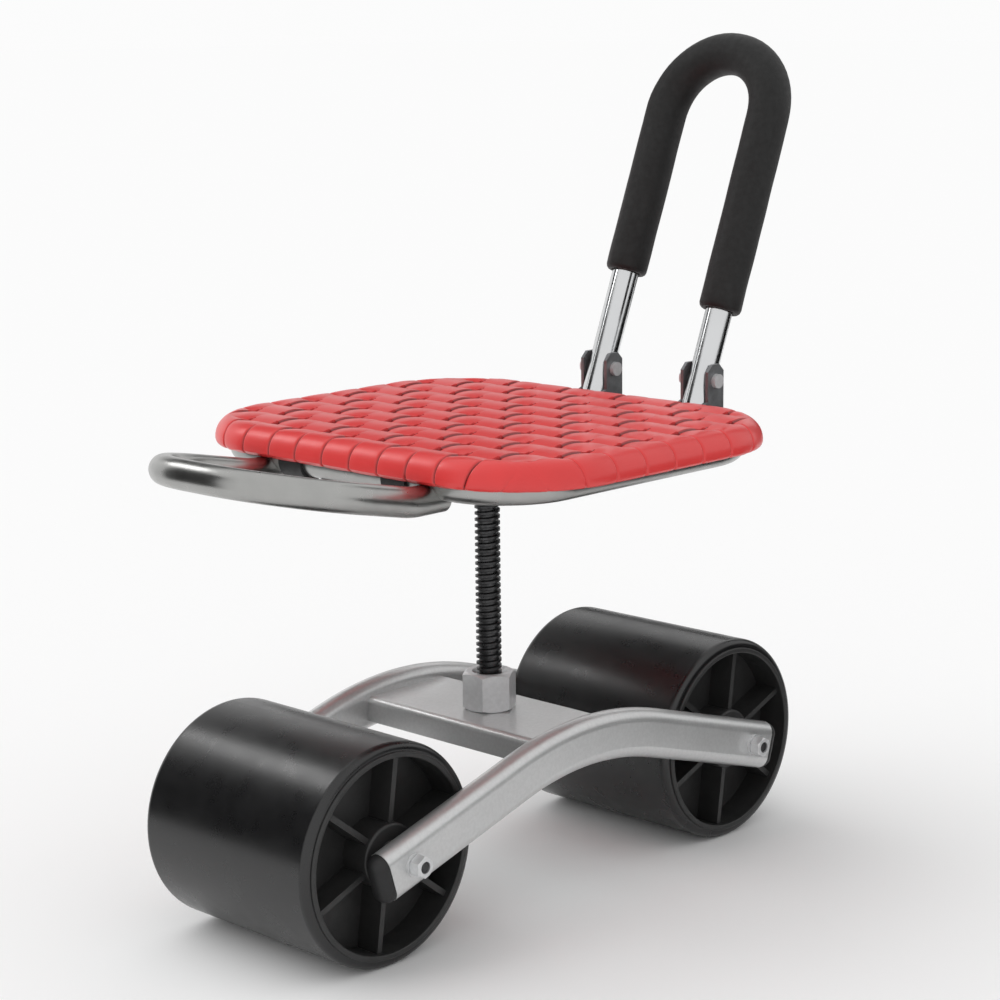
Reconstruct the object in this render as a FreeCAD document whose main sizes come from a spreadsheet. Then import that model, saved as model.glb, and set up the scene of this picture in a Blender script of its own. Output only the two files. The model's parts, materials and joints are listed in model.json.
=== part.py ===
import FreeCAD, Part
import os
from math import radians

import Sketcher
from FreeCAD import Placement, Rotation, Vector

# Rolling garden seat: two roller drums under an arched frame, a screw seat and a folding backrest.
# X runs along the axles, -Y is the front with the handle, Z is up from the floor.
# The seat screw stands on the Z axis.

doc = FreeCAD.newDocument("RollingGardenSeat")
dim = doc.addObject("Spreadsheet::Sheet", "dim")

# Driving dimensions in millimetres and degrees
SIZES = [
    ("wheel_radius", 75, "outer radius of a drum"),
    ("wheel_base", 348, "distance between the axles"),
    ("drum_length", 159, "length of a drum shell"),
    ("shell_wall", 6, "wall of a drum shell"),
    ("shell_edge", 5, "rounding of a drum shell's edges"),
    ("cap_depth", 36, "depth of an end cap inside the drum"),
    ("recess_depth", 22, "depth of the recess in an end cap"),
    ("web_thickness", 4, "thickness of an end cap's disc"),
    ("lip_width", 4, "width of an end cap's lip"),
    ("lip_height", 1.5, "how far the lip stands out of the drum"),
    ("lip_edge", 1.2, "rounding of the lip"),
    ("hub_radius", 22, "outer radius of an end cap's hub"),
    ("hub_edge", 2, "rounding of the hub"),
    ("rib_count", 6, "ribs in an end cap"),
    ("rib_thickness", 4, "thickness of a rib"),
    ("rib_drop", 3, "how far a rib's top lies below the drum's end"),
    ("rib_phase", 8, "turn of the ribs from upright"),
    ("cap_bite", 1, "how far a rib runs into its neighbours"),
    ("axle_radius", 4, "radius of an axle"),
    ("axle_length", 222, "length of an axle"),
    ("axle_edge", 0.8, "chamfer on an axle's ends"),
    ("running_gap", 0.05, "radial clearance of a running fit"),
    ("hole_gap", 0.2, "radial clearance of a bolt hole"),
    ("bush_radius", 7, "outer radius of a hub bush"),
    ("bush_flange_radius", 11, "radius of a hub bush's flange"),
    ("bush_flange", 2, "thickness of a hub bush's flange"),
    ("frame_inside", 168, "distance between the side tubes"),
    ("side_tube_width", 18, "width of a side tube"),
    ("side_tube_height", 35, "height of a side tube"),
    ("side_tube_wall", 2, "wall of a side tube"),
    ("arch_radius", 240, "bend radius of a side tube's middle"),
    ("arch_slope", 16.5, "slope of a side tube's straight ends"),
    ("tube_overhang", 20, "side tube past the axle"),
    ("plug_depth", 13, "depth of a plug in a side tube's end"),
    ("plug_dome", 9, "how far a plug stands out of the tube's end"),
    ("plug_inset", 0.4, "plug's head inside the tube's outline"),
    ("plug_edge", 7.5, "rounding of a plug's head"),
    ("spacer_radius", 10, "radius of a washer inside a side tube"),
    ("spacer_thickness", 2.1, "thickness of a washer inside a side tube"),
    ("washer_radius", 8, "radius of a washer outside a side tube"),
    ("washer_thickness", 1.6, "thickness of a washer outside a side tube"),
    ("nut_flats", 13, "M8 nut and bolt head across flats"),
    ("nut_height", 6.5, "M8 nut height"),
    ("axle_nut_height", 8, "height of a nut on an axle"),
    ("head_height", 5.3, "M8 bolt head height"),
    ("channel_width", 80, "width of the crosspiece"),
    ("channel_top", 122, "height of the crosspiece's top"),
    ("channel_depth", 18, "depth of the crosspiece"),
    ("channel_wall", 3, "wall of the crosspiece"),
    ("channel_bend", 5, "outer bend radius of the crosspiece"),
    ("lead_nut_flats", 34, "seat screw nut across flats"),
    ("lead_nut_height", 27, "seat screw nut height"),
    ("lead_nut_sink", 12.2, "radius of the countersink in the seat screw nut"),
    ("screw_radius", 9, "outer radius of the seat screw's thread"),
    ("screw_low", 119, "height of the seat screw's lower end"),
    ("thread_top", 281, "height where the thread ends"),
    ("thread_pitch", 4.5, "pitch of the thread"),
    ("thread_depth", 2, "depth of the thread"),
    ("thread_root", 3.2, "width of the thread's ridge at its root"),
    ("thread_crest", 1.6, "width of the thread's ridge at its crest"),
    ("thread_bite", 0.1, "how far the ridge runs into the core"),
    ("shank_radius", 10, "radius of the plain shank above the thread"),
    ("stop_gap", 0.3, "play on each side of the stop washer"),
    ("stop_washer_radius", 15.5, "radius of the stop washer"),
    ("stop_washer_thickness", 3, "thickness of the stop washer"),
    ("stop_bolt_depth", 14, "stop bolt inside the seat screw"),
    ("plate_size", 110, "side of the flange plate"),
    ("plate_corner", 6, "corner radius of the flange plate"),
    ("plate_low", 291, "height of the flange plate's underside"),
    ("plate_thickness", 6, "thickness of the flange plate"),
    ("plate_bolt_x", 20, "flange bolts from the middle, across"),
    ("plate_bolt_y", 38, "flange bolts from the middle, fore and aft"),
    ("bolt_tail", 2, "bolt past its nut"),
    ("spine_width", 60, "width of the spine bar"),
    ("spine_front", 130, "spine bar in front of the screw"),
    ("spine_rear", 196, "spine bar behind the screw"),
    ("spine_thickness", 5, "thickness of the spine bar"),
    ("tube_radius", 10, "radius of the chromed tubes"),
    ("tube_wall", 1.5, "wall of the chromed tubes"),
    ("vent_radius", 1.6, "radius of a vent hole in a chromed tube"),
    ("ring_half_x", 142, "seat ring from the middle, across"),
    ("ring_half_y", 126, "seat ring from the middle, fore and aft"),
    ("ring_corner", 50, "bend radius of the seat ring"),
    ("handle_half", 77.7, "handle legs from the middle"),
    ("handle_start", 155.1, "start of the handle's slope in front of the screw"),
    ("handle_reach", 103.5, "length of the handle's slope"),
    ("handle_root", 21, "level ends of the handle's legs"),
    ("handle_corner", 67, "bend radius of the handle's front corners"),
    ("handle_bend", 60, "bend radius where the handle's legs turn up"),
    ("handle_pitch", 11.6, "slope of the handle, rising to the front"),
    ("handle_height", 303, "height of the handle's level ends"),
    ("bar_half", 66, "bracket bar from the middle"),
    ("bar_front", 150, "bracket bar's front edge"),
    ("bar_thickness", 5, "thickness of the bracket bar"),
    ("seat_half_x", 172, "seat from the middle, across"),
    ("seat_half_y", 143.5, "seat from the middle, fore and aft"),
    ("seat_corner", 80, "corner radius of the seat"),
    ("seat_low", 313.5, "height of the rim's lower edge"),
    ("seat_top", 333, "height of the seat's top"),
    ("rim_round", 15, "rounding of the rim's upper edge"),
    ("rim_edge", 4, "rounding of the rim's lower edge"),
    ("seat_skin", 4, "thickness of the seat's top"),
    ("rim_wall", 5, "wall of the rim"),
    ("seat_rib", 3, "thickness of a rib under the seat"),
    ("seat_rib_step_x", 34, "distance between the ribs that run fore and aft"),
    ("seat_rib_step_y", 46, "distance between the ribs that run across"),
    ("seat_ribs_x", 4, "ribs on each side of the middle one that runs fore and aft"),
    ("seat_ribs_y", 2, "ribs on each side of the middle one that runs across"),
    ("boss_radius", 7, "radius of a screw boss under the seat"),
    ("clip_x", 50, "seat clips from the middle"),
    ("clip_width", 22, "width of a seat clip"),
    ("clip_wall", 2.5, "thickness of a seat clip"),
    ("clip_reach", 28, "flange of a seat clip past the ring's axis"),
    ("clip_screw_reach", 21, "screw of a seat clip past the ring's axis"),
    ("clip_screw_radius", 2.5, "radius of a seat clip's screw"),
    ("clip_screw_length", 6.5, "seat clip's screw above the clip's underside"),
    ("clip_head_radius", 4.5, "radius of a seat clip screw's head"),
    ("clip_head_height", 2.6, "height of a seat clip screw's head"),
    ("pivot_y", 176.5, "backrest pivot behind the screw"),
    ("pivot_z", 342, "height of the backrest pivot"),
    ("pivot_radius", 3, "radius of a pivot bolt"),
    ("pivot_nut_flats", 10, "M6 nut across flats"),
    ("pivot_nut_height", 5, "M6 nut height"),
    ("pivot_head_radius", 5.2, "radius of a pivot bolt's head"),
    ("pivot_head_height", 3.2, "height of a pivot bolt's head"),
    ("ear_gap", 0.4, "play between a backrest leg and an ear"),
    ("ear_thickness", 2.5, "thickness of a bracket's ears"),
    ("ear_half", 9, "half width of an ear"),
    ("ear_top", 12, "ear above the pivot"),
    ("ear_cut", 5, "chamfer on an ear's top"),
    ("web_front", 24, "stop web's front face before the pivot"),
    ("web_wall", 3, "thickness of the stop web"),
    ("web_drop", 21, "stop web's top below the pivot"),
    ("gusset_drop", 15, "top of an ear's gusset below the pivot"),
    ("leg_half", 49, "backrest legs from the middle"),
    ("back_lean", 21.8, "lean of the backrest"),
    ("back_length", 250, "backrest tube's axis above the pivot"),
    ("leg_tail", 27, "backrest legs below the pivot"),
    ("leg_cap", 3, "thickness of a leg's end cap"),
    ("leg_cap_depth", 12, "leg's end cap inside the tube"),
    ("foam_radius", 15.75, "outer radius of the foam sleeve"),
    ("foam_edge", 4, "rounding of the foam sleeve's ends"),
    ("foam_left", 75, "foam sleeve's left end above the pivot"),
    ("foam_right", 52, "foam sleeve's right end above the pivot"),
]

for row, (alias, number, meaning) in enumerate(SIZES, 1):
    dim.set(f"A{row}", meaning)
    dim.set(f"B{row}", str(number))
    dim.setAlias(f"B{row}", alias)
doc.recompute()

# Sizes that several pieces share, worked out from the sheet
DRUM_END = "dim.drum_length / 2"
DRUM_BORE = "(dim.wheel_radius - dim.shell_wall)"
AXLE_Y = "dim.wheel_base / 2"
FRAME_FACE = "dim.frame_inside / 2"
SIDE_TUBE_X = "(dim.frame_inside + dim.side_tube_width) / 2"
APEX_Z = (
    "(dim.wheel_radius + dim.arch_radius * (1 - cos(dim.arch_slope))"
    " + (dim.wheel_base / 2 - dim.arch_radius * sin(dim.arch_slope)) * tan(dim.arch_slope))"
)
CORE_RADIUS = "(dim.screw_radius - dim.thread_depth)"
PLATE_TOP = "(dim.plate_low + dim.plate_thickness)"
SPINE_TOP = f"({PLATE_TOP} + dim.spine_thickness)"
BAR_TOP = f"({SPINE_TOP} + dim.bar_thickness)"
RING_Z = f"({SPINE_TOP} + dim.tube_radius)"
RING_TOP = f"({RING_Z} + dim.tube_radius)"
CLIP_TOP = f"({RING_TOP} + dim.clip_wall)"
SKIN_LOW = "(dim.seat_top - dim.seat_skin)"
CLIP_SCREW_Y = "(dim.ring_half_y - dim.clip_screw_reach)"
STOP_HEAD_LOW = "(dim.screw_low - 2 * dim.stop_gap - dim.stop_washer_thickness - dim.head_height)"
EAR_INSIDE = "(dim.tube_radius + dim.ear_gap)"
EAR_OUTSIDE = "(dim.tube_radius + dim.ear_gap + dim.ear_thickness)"

# Sketch elements: the two axes, and the points of a line or an arc
VERTICAL, HORIZONTAL = -2, -1
ORIGIN = (-1, 1)
START, END, CENTRE = 1, 2, 3

# Turn from +Z to the direction that a round piece points in
DIRECTIONS = {"Z": Rotation(), "X": Rotation(Vector(0, 1, 0), 90)}

ACROSS = Vector(1, 0, 0)
ALONG = Vector(0, 1, 0)
TOLERANCE = 1e-4
nodes = []


def value(text):
    """Number that a formula of sheet sizes stands for."""
    return float(dim.evalExpression(text))


def keep(piece, label):
    """Make a piece a sub-part of its own."""
    piece.Label = label
    nodes.append(piece)
    return piece


# Placing and binding
def bind(piece, **formulas):
    for size, text in formulas.items():
        piece.setExpression(size, text)


def place(piece, x="0", y="0", z="0", axis=Vector(0, 0, 1), angle="0"):
    piece.Placement = Placement(Vector(), Rotation(axis, value(angle)))
    for letter, text in zip("xyz", (x, y, z)):
        piece.setExpression(f"Placement.Base.{letter}", text)


# Sketches
def new_sketch(body, role, lift="0"):
    sketch = body.newObject("Sketcher::SketchObject", "outline")
    sketch.AttachmentSupport = [(origin(body, role), "")]
    sketch.MapMode = "FlatFace"
    sketch.setExpression("AttachmentOffset.Base.z", lift)
    return sketch


def origin(body, role):
    return [part for part in body.Origin.OriginFeatures if part.Role == role][0]


def point(x, y):
    return Vector(value(x), value(y), 0)


def lock(sketch, kind, *elements, size):
    number = sketch.addConstraint(Sketcher.Constraint(kind, *elements, value(size)))
    sketch.setExpression(f"Constraints[{number}]", size)


def fix_point(sketch, element, end, x, y):
    for kind, axis, size in (("DistanceX", VERTICAL, x), ("DistanceY", HORIZONTAL, y)):
        if abs(value(size)) < TOLERANCE:
            sketch.addConstraint(Sketcher.Constraint("PointOnObject", element, end, axis))
        else:
            lock(sketch, kind, *ORIGIN, element, end, size=size)


def circle(sketch, radius, x="0", y="0"):
    element = sketch.addGeometry(Part.Circle(point(x, y), Vector(0, 0, 1), value(radius)))
    lock(sketch, "Radius", element, size=radius)
    fix_point(sketch, element, CENTRE, x, y)


def polygon(sketch, corners):
    points = [point(*corner) for corner in corners]
    first = sketch.GeometryCount
    for start, end in zip(points, points[1:] + points[:1]):
        sketch.addGeometry(Part.LineSegment(start, end))
    for number, corner in enumerate(corners):
        before = first + (number - 1) % len(corners)
        sketch.addConstraint(Sketcher.Constraint("Coincident", before, END, first + number, START))
        fix_point(sketch, first + number, START, *corner)


def rectangle(sketch, left, low, right, high):
    polygon(sketch, [(left, low), (right, low), (right, high), (left, high)])


def arc(x, y, radius, start, end):
    full = Part.Circle(point(x, y), Vector(0, 0, 1), value(radius))
    return Part.ArcOfCircle(full, radians(start), radians(end))


def chain(sketch, pieces, closed=False):
    """Lines and arcs in a row, each tangent to the next."""
    first = sketch.GeometryCount
    for piece in pieces:
        sketch.addGeometry(piece)
    numbers = list(range(first, first + len(pieces)))
    followers = numbers[1:] + numbers[:1] if closed else numbers[1:]
    for number, follower in zip(numbers, followers):
        sketch.addConstraint(Sketcher.Constraint("Tangent", number, END, follower, START))
    return numbers


def rounded_rectangle(sketch, half_x, half_y, radius):
    right, back = f"({half_x} - {radius})", f"({half_y} - {radius})"
    centres = [(right, back), (f"-{right}", back), (f"-{right}", f"-{back}"), (right, f"-{back}")]
    arcs = [arc(x, y, radius, 90 * turn, 90 * turn + 90) for turn, (x, y) in enumerate(centres)]
    pieces = []
    for one, following in zip(arcs, arcs[1:] + arcs[:1]):
        pieces += [one, Part.LineSegment(one.EndPoint, following.StartPoint)]
    numbers = chain(sketch, pieces, closed=True)
    for number, centre in zip(numbers[::2], centres):
        lock(sketch, "Radius", number, size=radius)
        fix_point(sketch, number, CENTRE, *centre)


def flat_oval(sketch, width, height, y="0"):
    radius = f"({width} / 2)"
    reach = f"({height} - {width}) / 2"
    centres = [("0", f"{y} + {reach}"), ("0", f"{y} - {reach}")]
    top, bottom = arc(*centres[0], radius, 0, 180), arc(*centres[1], radius, 180, 360)
    left = Part.LineSegment(top.EndPoint, bottom.StartPoint)
    right = Part.LineSegment(bottom.EndPoint, top.StartPoint)
    numbers = chain(sketch, [top, left, bottom, right], closed=True)
    for number, centre in zip(numbers[::2], centres):
        lock(sketch, "Radius", number, size=radius)
        fix_point(sketch, number, CENTRE, *centre)


# Features of a body
def new_body(name):
    return doc.addObject("PartDesign::Body", name)


def extrude(body, kind, sketch, length, both_ways=False, backwards=False):
    feature = body.newObject(f"PartDesign::{kind}", kind.lower())
    feature.Profile = sketch
    feature.SideType = "Symmetric" if both_ways else "One side"
    feature.Reversed = backwards
    bind(feature, Length=length)
    return feature


def revolve(body, sketch, axis):
    feature = body.newObject("PartDesign::Revolution", "revolution")
    feature.Profile = sketch
    feature.ReferenceAxis = (origin(body, axis), [""])


def sweep(body, profile, path):
    feature = body.newObject("PartDesign::AdditivePipe", "pipe")
    feature.Profile = profile
    feature.Spine = path
    return feature


def mirror_features(body, features, role):
    mirrored = body.newObject("PartDesign::Mirrored", "mirrored")
    mirrored.Originals = features
    mirrored.MirrorPlane = (origin(body, role), [""])
    body.Tip = mirrored


def round_edges(body, radius, chosen):
    doc.recompute()
    base = body.Tip
    names = [f"Edge{number}" for number, edge in enumerate(base.Shape.Edges, 1) if chosen(edge)]
    fillet = body.newObject("PartDesign::Fillet", "rounding")
    fillet.Base = (base, names)
    bind(fillet, Radius=radius)


def is_round(edge, radius):
    curve = edge.Curve
    return curve.TypeId == "Part::GeomCircle" and abs(curve.Radius - value(radius)) < TOLERANCE


def lies_at(edge, height):
    box = edge.BoundBox
    return max(abs(box.ZMin - value(height)), abs(box.ZMax - value(height))) < TOLERANCE


# Plain solids and groups of them
def solid(kind, at, direction, **sizes):
    piece = doc.addObject(f"Part::{kind}", kind.lower())
    bind(piece, **sizes)
    place(piece, *at)
    piece.Placement.Rotation = DIRECTIONS[direction]
    return piece


def cylinder(radius, height, at, direction="Z"):
    return solid("Cylinder", at, direction, Radius=radius, Height=height)


def cut(base, tool):
    result = doc.addObject("Part::Cut", "cut")
    result.Base = base
    result.Tool = tool
    return result


def fuse(*pieces):
    result = doc.addObject("Part::MultiFuse", "fusion")
    result.Shapes = list(pieces)
    return result


def group(pieces):
    result = doc.addObject("Part::Compound", "group")
    result.Links = pieces
    return result


def pair(piece, normal):
    """A piece and its mirror image across the middle."""
    image = doc.addObject("Part::Mirroring", "image")
    image.Source = piece
    image.Normal = normal
    return group([piece, image])


def hexagon(flats, height, at, direction="Z"):
    """Hexagon prism whose corners are chamfered at 30 degrees on both ends."""
    small = f"0.48 * {flats}"
    large = f"0.48 * {flats} + {height} / tan(30)"
    result = doc.addObject("Part::MultiCommon", "hexagon")
    result.Shapes = [
        solid("Prism", at, direction, Circumradius=f"{flats} / (2 * cos(30))", Height=height),
        solid("Cone", at, direction, Radius1=small, Radius2=large, Height=height),
        solid("Cone", at, direction, Radius1=large, Radius2=small, Height=height),
    ]
    return result


def washer(outer, inner, height, at, direction="Z"):
    return cut(cylinder(outer, height, at, direction), cylinder(inner, height, at, direction))


# Wheels
def drum_shell(end, y):
    body = new_body(f"{end}_drum_shell")
    outline = new_sketch(body, "XZ_Plane")
    rectangle(outline, f"-{DRUM_END}", DRUM_BORE, DRUM_END, "dim.wheel_radius")
    revolve(body, outline, "X_Axis")
    round_edges(body, "dim.shell_edge", lambda edge: is_round(edge, "dim.wheel_radius"))
    place(body, y=y, z="dim.wheel_radius")
    keep(body, body.Name)


def drum_cap(end, y, side, axis, angle):
    body = new_body(f"{end}_{side}_drum_cap")
    deep = f"{DRUM_END} - dim.cap_depth"
    floor = f"{DRUM_END} - dim.recess_depth"
    back = f"{floor} - dim.web_thickness"
    crest = f"{DRUM_END} + dim.lip_height"
    lip_bore = f"({DRUM_BORE} - dim.lip_width)"
    outline = new_sketch(body, "XZ_Plane")
    polygon(outline, [
        (deep, "dim.bush_radius"), (deep, "dim.hub_radius"),
        (back, "dim.hub_radius"), (back, lip_bore),
        (deep, lip_bore), (deep, DRUM_BORE),
        (crest, DRUM_BORE), (crest, lip_bore),
        (floor, lip_bore), (floor, "dim.hub_radius"),
        (DRUM_END, "dim.hub_radius"), (DRUM_END, "dim.bush_radius"),
    ])
    revolve(body, outline, "X_Axis")

    def faces_out(edge, x):
        return abs(edge.CenterOfMass.x - value(x)) < TOLERANCE

    round_edges(body, "dim.lip_edge", lambda edge: faces_out(edge, crest))
    round_edges(body, "dim.hub_edge",
                lambda edge: faces_out(edge, DRUM_END) and is_round(edge, "dim.hub_radius"))
    side_view = new_sketch(body, "XZ_Plane")
    rectangle(side_view, f"{floor} - dim.cap_bite", "dim.hub_radius - dim.cap_bite",
              f"{DRUM_END} - dim.rib_drop", f"{lip_bore} + dim.cap_bite")
    rib = extrude(body, "Pad", side_view, "dim.rib_thickness", both_ways=True)
    ribs = body.newObject("PartDesign::PolarPattern", "ribs")
    ribs.Originals = [rib]
    ribs.Axis = (origin(body, "X_Axis"), [""])
    bind(ribs, Occurrences="dim.rib_count")
    body.Tip = ribs
    place(body, y=y, z="dim.wheel_radius", axis=axis, angle=angle)
    keep(body, body.Name)


def hub_bushes(end, y):
    body = new_body(f"{end}_bush")
    deep = f"{DRUM_END} - dim.cap_depth"
    face = f"{DRUM_END} + dim.bush_flange"
    bore = "dim.axle_radius + dim.running_gap"
    outline = new_sketch(body, "XZ_Plane")
    polygon(outline, [
        (deep, bore), (face, bore), (face, "dim.bush_flange_radius"),
        (DRUM_END, "dim.bush_flange_radius"), (DRUM_END, "dim.bush_radius"), (deep, "dim.bush_radius"),
    ])
    revolve(body, outline, "X_Axis")
    place(body, y=y, z="dim.wheel_radius")
    keep(pair(body, ACROSS), f"{end}_hub_bushes")


def axle(end, y):
    body = new_body(f"{end}_axle")
    tip = "dim.axle_length / 2"
    shoulder = f"({tip} - dim.axle_edge)"
    outline = new_sketch(body, "XZ_Plane")
    polygon(outline, [
        (f"-{tip}", "0"), (tip, "0"), (tip, "dim.axle_radius - dim.axle_edge"), (shoulder, "dim.axle_radius"),
        (f"-{shoulder}", "dim.axle_radius"), (f"-{tip}", "dim.axle_radius - dim.axle_edge"),
    ])
    revolve(body, outline, "X_Axis")
    place(body, y=y, z="dim.wheel_radius")
    keep(body, body.Name)


def axle_fasteners(end, y):
    outside = f"{FRAME_FACE} + dim.side_tube_width"
    nut_face = f"{outside} + dim.washer_thickness"
    inner_at = (f"{FRAME_FACE} - dim.spacer_thickness", y, "dim.wheel_radius")
    outer_at = (outside, y, "dim.wheel_radius")
    nut_at = (nut_face, y, "dim.wheel_radius")
    hole = "dim.axle_radius + dim.hole_gap"
    inner = washer("dim.spacer_radius", hole, "dim.spacer_thickness", inner_at, "X")
    outer = washer("dim.washer_radius", hole, "dim.washer_thickness", outer_at, "X")
    nut = cut(hexagon("dim.nut_flats", "dim.axle_nut_height", nut_at, "X"),
              cylinder("dim.axle_radius", "dim.axle_nut_height", nut_at, "X"))
    keep(pair(inner, ACROSS), f"{end}_inner_washers")
    keep(pair(outer, ACROSS), f"{end}_outer_washers")
    keep(pair(nut, ACROSS), f"{end}_axle_nuts")


# Frame
def side_tube(side, sign):
    body = new_body(f"{side}_side_tube")
    end_y = f"{AXLE_Y} + dim.tube_overhang * cos(dim.arch_slope)"
    end_z = "dim.wheel_radius - dim.tube_overhang * sin(dim.arch_slope)"
    centre_z = f"{APEX_Z} - dim.arch_radius"
    bend = arc("0", centre_z, "dim.arch_radius", 90 - value("dim.arch_slope"), 90)
    path = new_sketch(body, "YZ_Plane")
    straight, curved = chain(path, [Part.LineSegment(point(end_y, end_z), bend.StartPoint), bend])
    fix_point(path, straight, START, end_y, end_z)
    lock(path, "Radius", curved, size="dim.arch_radius")
    fix_point(path, curved, CENTRE, "0", centre_z)
    path.addConstraint(Sketcher.Constraint("PointOnObject", curved, END, VERTICAL))
    section = new_sketch(body, "XZ_Plane")
    flat_oval(section, "dim.side_tube_width", "dim.side_tube_height", APEX_Z)
    flat_oval(section, "(dim.side_tube_width - 2 * dim.side_tube_wall)",
              "(dim.side_tube_height - 2 * dim.side_tube_wall)", APEX_Z)
    mirror_features(body, [sweep(body, section, path)], "XZ_Plane")
    holes = new_sketch(body, "YZ_Plane")
    for y in (AXLE_Y, f"-{AXLE_Y}"):
        circle(holes, "dim.axle_radius + dim.hole_gap", y, "dim.wheel_radius")
    extrude(body, "Pocket", holes, "2 * dim.side_tube_width", both_ways=True)
    place(body, x=f"{sign} * {SIDE_TUBE_X}")
    keep(body, body.Name)


def tube_end_plugs():
    body = new_body("tube_end_plug")
    trim = "2 * dim.plug_inset"
    head = new_sketch(body, "XZ_Plane", lift="-dim.tube_overhang")
    flat_oval(head, f"(dim.side_tube_width - {trim})", f"(dim.side_tube_height - {trim})")
    extrude(body, "Pad", head, "dim.plug_dome", backwards=True)
    crown = "dim.tube_overhang + dim.plug_dome"
    round_edges(body, "dim.plug_edge", lambda edge: abs(edge.CenterOfMass.y - value(crown)) < TOLERANCE)
    wall = "2 * dim.side_tube_wall"
    plug = new_sketch(body, "XZ_Plane", lift="-dim.tube_overhang")
    flat_oval(plug, f"(dim.side_tube_width - {wall})", f"(dim.side_tube_height - {wall})")
    extrude(body, "Pad", plug, "dim.plug_depth")
    place(body, SIDE_TUBE_X, AXLE_Y, "dim.wheel_radius", Vector(-1, 0, 0), "dim.arch_slope")
    keep(pair(pair(body, ACROSS), ALONG), "tube_end_plugs")


def crosspiece():
    body = new_body("crosspiece")
    half, low = "dim.channel_width / 2", "dim.channel_top - dim.channel_depth"
    inside, under = f"({half} - dim.channel_wall)", "dim.channel_top - dim.channel_wall"
    outline = new_sketch(body, "YZ_Plane")
    polygon(outline, [
        (f"-{half}", "dim.channel_top"), (f"-{half}", low), (f"-{inside}", low), (f"-{inside}", under),
        (inside, under), (inside, low), (half, low), (half, "dim.channel_top"),
    ])
    extrude(body, "Pad", outline, "dim.frame_inside", both_ways=True)
    outer_y, inner_y = value(half), value(inside)
    top_z, under_z = value("dim.channel_top"), value(under)

    def along_bend(edge, y, z):
        middle = edge.CenterOfMass
        return max(abs(abs(middle.y) - y), abs(middle.z - z), abs(middle.x)) < TOLERANCE

    round_edges(body, "dim.channel_bend", lambda edge: along_bend(edge, outer_y, top_z))
    round_edges(body, "dim.channel_bend - dim.channel_wall", lambda edge: along_bend(edge, inner_y, under_z))
    hole = new_sketch(body, "XY_Plane", lift="dim.channel_top")
    circle(hole, "dim.screw_radius + 2 * dim.hole_gap")
    extrude(body, "Pocket", hole, "dim.channel_depth")
    keep(body, body.Name)


def lead_nut():
    at = ("0", "0", "dim.channel_top")
    bore = "(dim.screw_radius + dim.hole_gap)"
    sink_depth = f"(dim.lead_nut_sink - {bore})"
    sink_at = ("0", "0", f"dim.channel_top + dim.lead_nut_height - {sink_depth}")
    sink = solid("Cone", sink_at, "Z", Radius1=bore, Radius2="dim.lead_nut_sink", Height=sink_depth)
    blank = cut(hexagon("dim.lead_nut_flats", "dim.lead_nut_height", at), sink)
    keep(cut(blank, cylinder(bore, "dim.lead_nut_height", at)), "seat_screw_nut")


# Seat screw and its stop
def seat_screw():
    body = new_body("seat_screw")
    core = new_sketch(body, "XY_Plane", lift="dim.screw_low")
    circle(core, CORE_RADIUS)
    extrude(body, "Pad", core, "dim.thread_top - dim.screw_low")
    shank = new_sketch(body, "XY_Plane", lift="dim.thread_top")
    circle(shank, "dim.shank_radius")
    extrude(body, "Pad", shank, "dim.plate_low - dim.thread_top")
    hole = new_sketch(body, "XY_Plane", lift="dim.screw_low")
    circle(hole, "dim.axle_radius")
    extrude(body, "Pocket", hole, "dim.stop_bolt_depth", backwards=True)
    ridge_foot = f"{CORE_RADIUS} - dim.thread_bite"
    flank = "(dim.thread_root - dim.thread_crest) / 2"
    ridge_low = "dim.screw_low + dim.thread_bite"
    ridge = new_sketch(body, "XZ_Plane")
    polygon(ridge, [
        (ridge_foot, ridge_low), ("dim.screw_radius", f"{ridge_low} + {flank}"),
        ("dim.screw_radius", f"{ridge_low} + dim.thread_root - {flank}"),
        (ridge_foot, f"{ridge_low} + dim.thread_root"),
    ])
    thread = body.newObject("PartDesign::AdditiveHelix", "thread")
    thread.Profile = ridge
    thread.ReferenceAxis = (origin(body, "Z_Axis"), [""])
    thread.Mode = 0
    bind(thread, Pitch="dim.thread_pitch",
         Height="dim.thread_top - dim.screw_low - dim.thread_root - dim.thread_bite")
    keep(body, body.Name)


def screw_stop():
    washer_at = ("0", "0", "dim.screw_low - dim.stop_gap - dim.stop_washer_thickness")
    stop = washer("dim.stop_washer_radius", "dim.axle_radius + dim.hole_gap",
                  "dim.stop_washer_thickness", washer_at)
    keep(stop, "stop_washer")
    head_at = ("0", "0", STOP_HEAD_LOW)
    shank = cylinder("dim.axle_radius", f"dim.screw_low + dim.stop_bolt_depth - {STOP_HEAD_LOW}", head_at)
    keep(fuse(hexagon("dim.nut_flats", "dim.head_height", head_at), shank), "stop_bolt")


# Seat frame
def bolt_holes(sketch):
    for x in ("dim.plate_bolt_x", "-dim.plate_bolt_x"):
        for y in ("dim.plate_bolt_y", "-dim.plate_bolt_y"):
            circle(sketch, "dim.axle_radius + dim.hole_gap", x, y)


def flange_plate():
    body = new_body("flange_plate")
    outline = new_sketch(body, "XY_Plane", lift="dim.plate_low")
    rounded_rectangle(outline, "dim.plate_size / 2", "dim.plate_size / 2", "dim.plate_corner")
    bolt_holes(outline)
    extrude(body, "Pad", outline, "dim.plate_thickness")
    keep(body, body.Name)


def spine_bar():
    body = new_body("spine_bar")
    outline = new_sketch(body, "XY_Plane", lift=PLATE_TOP)
    rectangle(outline, "-dim.spine_width / 2", "-dim.spine_front", "dim.spine_width / 2", "dim.spine_rear")
    bolt_holes(outline)
    extrude(body, "Pad", outline, "dim.spine_thickness")
    keep(body, body.Name)


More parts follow.
